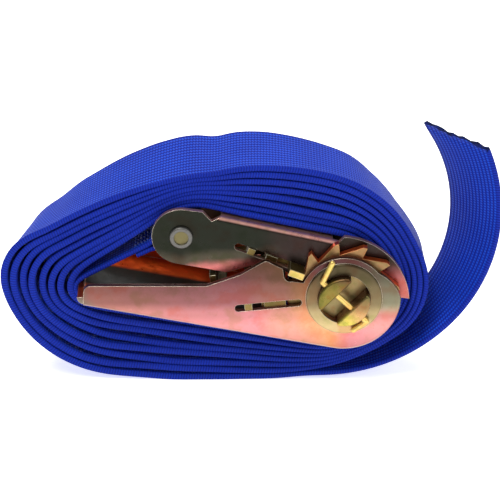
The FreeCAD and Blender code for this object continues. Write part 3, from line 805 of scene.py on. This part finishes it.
def stitching():
    """Rows of thread across the two layers of the sewn eye, on both of their faces."""
    verts, faces = [], []

    def stitch(start, end, lift):
        """One raised stitch: a six-sided bar that dips at both ends."""
        start, end = np.array(start, float), np.array(end, float)
        ahead = (end - start) / np.linalg.norm(end - start)
        side = np.cross(ahead, lift)
        first = len(verts)
        for share, rise, fat in ((0.0, -0.05, 0.10), (0.2, 0.12, 0.24), (0.8, 0.12, 0.24),
                                 (1.0, -0.05, 0.10)):
            centre = start + (end - start) * share + lift * rise
            for k in range(6):
                angle = math.tau * k / 6
                verts.append(tuple((centre + (side * math.cos(angle)
                                              + lift * math.sin(angle)) * fat) * MM))
        for ring in range(3):
            for k in range(6):
                a, b = first + ring * 6 + k, first + ring * 6 + (k + 1) % 6
                faces.append((a, b, b + 6, a + 6))
        faces.append(tuple(first + k for k in reversed(range(6))))
        faces.append(tuple(first + 18 + k for k in range(6)))

    angle = math.radians(LOOP_ANGLE)
    ahead = np.array([math.cos(angle), 0.0, math.sin(angle)])
    up = np.array([math.sin(angle), 0.0, -math.cos(angle)])
    centre = np.array([ANCHOR[0], 0.0, ANCHOR[1]])
    surface = TAPE + 0.08
    for face in (1, -1):
        for row in range(STITCH_ROWS):
            place = 10.0 + row * 1.0
            for column in range(STITCH_COLUMNS):
                y = FIRST_STITCH + column * STITCH_PITCH
                base = centre + ahead * place + up * (surface * face)
                end = base + [0, y + STITCH_LENGTH, 0] + ahead * 0.45
                stitch(base + [0, y, 0], end, up * face)
    mesh = bpy.data.meshes.new("strap_stitching")
    mesh.from_pydata(verts, [], faces)
    mesh.polygons.foreach_set("use_smooth", [True] * len(mesh.polygons))
    mesh.validate()
    obj = bpy.data.objects.new("strap_stitching", mesh)
    bpy.context.scene.collection.objects.link(obj)
    return obj


stitches = stitching()
stitches.data.materials.append(thread_material())
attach(stitches, "frame")

# ---------------------------------------------------------------- finishes on the CAD nodes

finishes = plated_materials()
for name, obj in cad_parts.items():
    if obj.hide_render:
        continue
    for slot in obj.material_slots:
        key = next((k for k in finishes if slot.material and slot.material.name.startswith(k)), None)
        if key is None:
            raise ValueError("no finish for " + name)
        slot.material = finishes[key]


# ---------------------------------------------------------------- springs

# Slot angle and lift, start and end of the spring along the slot from the spindle, turns.
FRAME_SPRING = (158.8, 2.1, 18.0, 28.4, 8)
HANDLE_SPRING = (186.0, 0.0, 18.9, 26.6, 7)
SPRING_RADIUS, SPRING_WIRE = 2.0, 0.6
SPRING_GAP = 0.1            # between each end of a spring and what it presses on


def spring(name, place, stands_for, body):
    """A helical spring along a pawl's slot, drawn in place of the CAD node it stands for."""
    degrees, lift, start, end, turns = place
    length = end - start - 2 * SPRING_GAP - SPRING_WIRE
    first = along(degrees, start + SPRING_GAP + SPRING_WIRE / 2, lift, SPINDLE)
    origin = np.array([first[0], 0.0, first[1]])
    angle = math.radians(degrees)
    axis = np.array([math.cos(angle), 0.0, math.sin(angle)])
    side = np.array([-math.sin(angle), 0.0, math.cos(angle)])
    around, steps, ring = np.array([0.0, 1.0, 0.0]), turns * 20, 8
    verts, faces = [], []
    for step in range(steps + 1):
        phase = math.tau * turns * step / steps
        spoke = side * math.cos(phase) + around * math.sin(phase)
        centre = origin + axis * (length * step / steps) + spoke * SPRING_RADIUS
        for k in range(ring):
            turn = math.tau * k / ring
            offset = spoke * math.cos(turn) + axis * math.sin(turn)
            verts.append(tuple((centre + offset * SPRING_WIRE / 2) * MM))
    for step in range(steps):
        for k in range(ring):
            a, b = step * ring + k, step * ring + (k + 1) % ring
            faces.append((a, b, b + ring, a + ring))
    faces.append(tuple(reversed(range(ring))))
    faces.append(tuple(steps * ring + k for k in range(ring)))
    mesh = bpy.data.meshes.new(name)
    mesh.from_pydata(verts, [], faces)
    mesh.polygons.foreach_set("use_smooth", [True] * len(mesh.polygons))
    mesh.validate()
    obj = bpy.data.objects.new(name, mesh)
    bpy.context.scene.collection.objects.link(obj)
    mesh.materials.append(finishes["spring_steel"])
    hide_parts(stands_for)
    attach(obj, body)
    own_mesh(obj)


spring("spring_of_frame_pawl", FRAME_SPRING, "frame_pawl_spring", "frame")
spring("spring_of_handle_pawl", HANDLE_SPRING, "handle_pawl_spring", "handle")


# ---------------------------------------------------------------- studio

def floor():
    """A large plain sweep: flat under the object, rising softly far behind it."""
    size, depth = 3.0, 24
    verts, faces = [], []
    for row in range(depth + 1):
        share = row / depth
        y = -1.6 + 3.6 * share
        rise = max(0.0, y - 1.0)
        for x in (-size, size):
            verts.append((x, y, rise * rise * 0.9))
    for row in range(depth):
        a = row * 2
        faces.append((a, a + 1, a + 3, a + 2))
    mesh = bpy.data.meshes.new("studio_floor")
    mesh.from_pydata(verts, [], faces)
    mesh.polygons.foreach_set("use_smooth", [True] * len(mesh.polygons))
    obj = bpy.data.objects.new("studio_floor", mesh)
    bpy.context.scene.collection.objects.link(obj)
    tree = Tree("studio_paper")
    where = tree.add("TexCoord").outputs[3]
    grain = tree.add("TexNoise", Vector=where, Scale=300.0, Detail=2.0)
    paper = tree.ramp(grain.outputs[0], [(0.3, (0.93, 0.93, 0.93)), (0.7, (0.95, 0.95, 0.95))])
    tree.set(Base_Color=paper, Roughness=0.9, Emission_Color=(1.0, 1.0, 1.0, 1.0),
             Emission_Strength=0.65)
    mesh.materials.append(tree.material)


def area_light(name, place, target, size, power, tone=(1.0, 1.0, 1.0)):
    data = bpy.data.lights.new(name, "AREA")
    data.shape = "DISK"
    data.size = size
    data.energy = power
    data.color = tone
    obj = bpy.data.objects.new(name, data)
    bpy.context.scene.collection.objects.link(obj)
    obj.location = place
    obj.rotation_euler = (Vector(target) - Vector(place)).to_track_quat("-Z", "Y").to_euler()


def studio():
    floor()
    middle = (0.0, 0.0, 0.03)
    area_light("key", (-0.25, -0.35, 0.8), middle, 0.55, 5.0)
    area_light("fill", (0.7, -0.45, 0.4), middle, 0.6, 1.9)
    area_light("top", (0.0, 0.35, 0.8), middle, 0.6, 4.4)
    world = bpy.data.worlds.new("studio")
    world.use_nodes = True
    world.node_tree.nodes["Background"].inputs["Color"].default_value = (0.93, 0.95, 1.0, 1)
    world.node_tree.nodes["Background"].inputs["Strength"].default_value = 0.42
    bpy.context.scene.world = world
    bpy.context.scene.view_settings.view_transform = "Standard"


CAMERA_TARGET = (-0.0006, 0.0, 0.0362)
CAMERA_DISTANCE, CAMERA_ELEVATION = 1.0, 24.0       # metres, degrees
CAMERA_LENS, SENSOR_WIDTH = 245.7, 36.0             # mm


def camera():
    """From the front and above, through a long lens."""
    target = Vector(CAMERA_TARGET)
    distance, elevation = CAMERA_DISTANCE, math.radians(CAMERA_ELEVATION)
    data = bpy.data.cameras.new("camera")
    data.lens = CAMERA_LENS
    data.sensor_width = SENSOR_WIDTH
    data.dof.use_dof = False
    obj = bpy.data.objects.new("camera", data)
    bpy.context.scene.collection.objects.link(obj)
    obj.location = target + Vector((0, -distance * math.cos(elevation),
                                    distance * math.sin(elevation)))
    obj.rotation_euler = (target - obj.location).to_track_quat("-Z", "Y").to_euler()
    bpy.context.scene.camera = obj


studio()
camera()
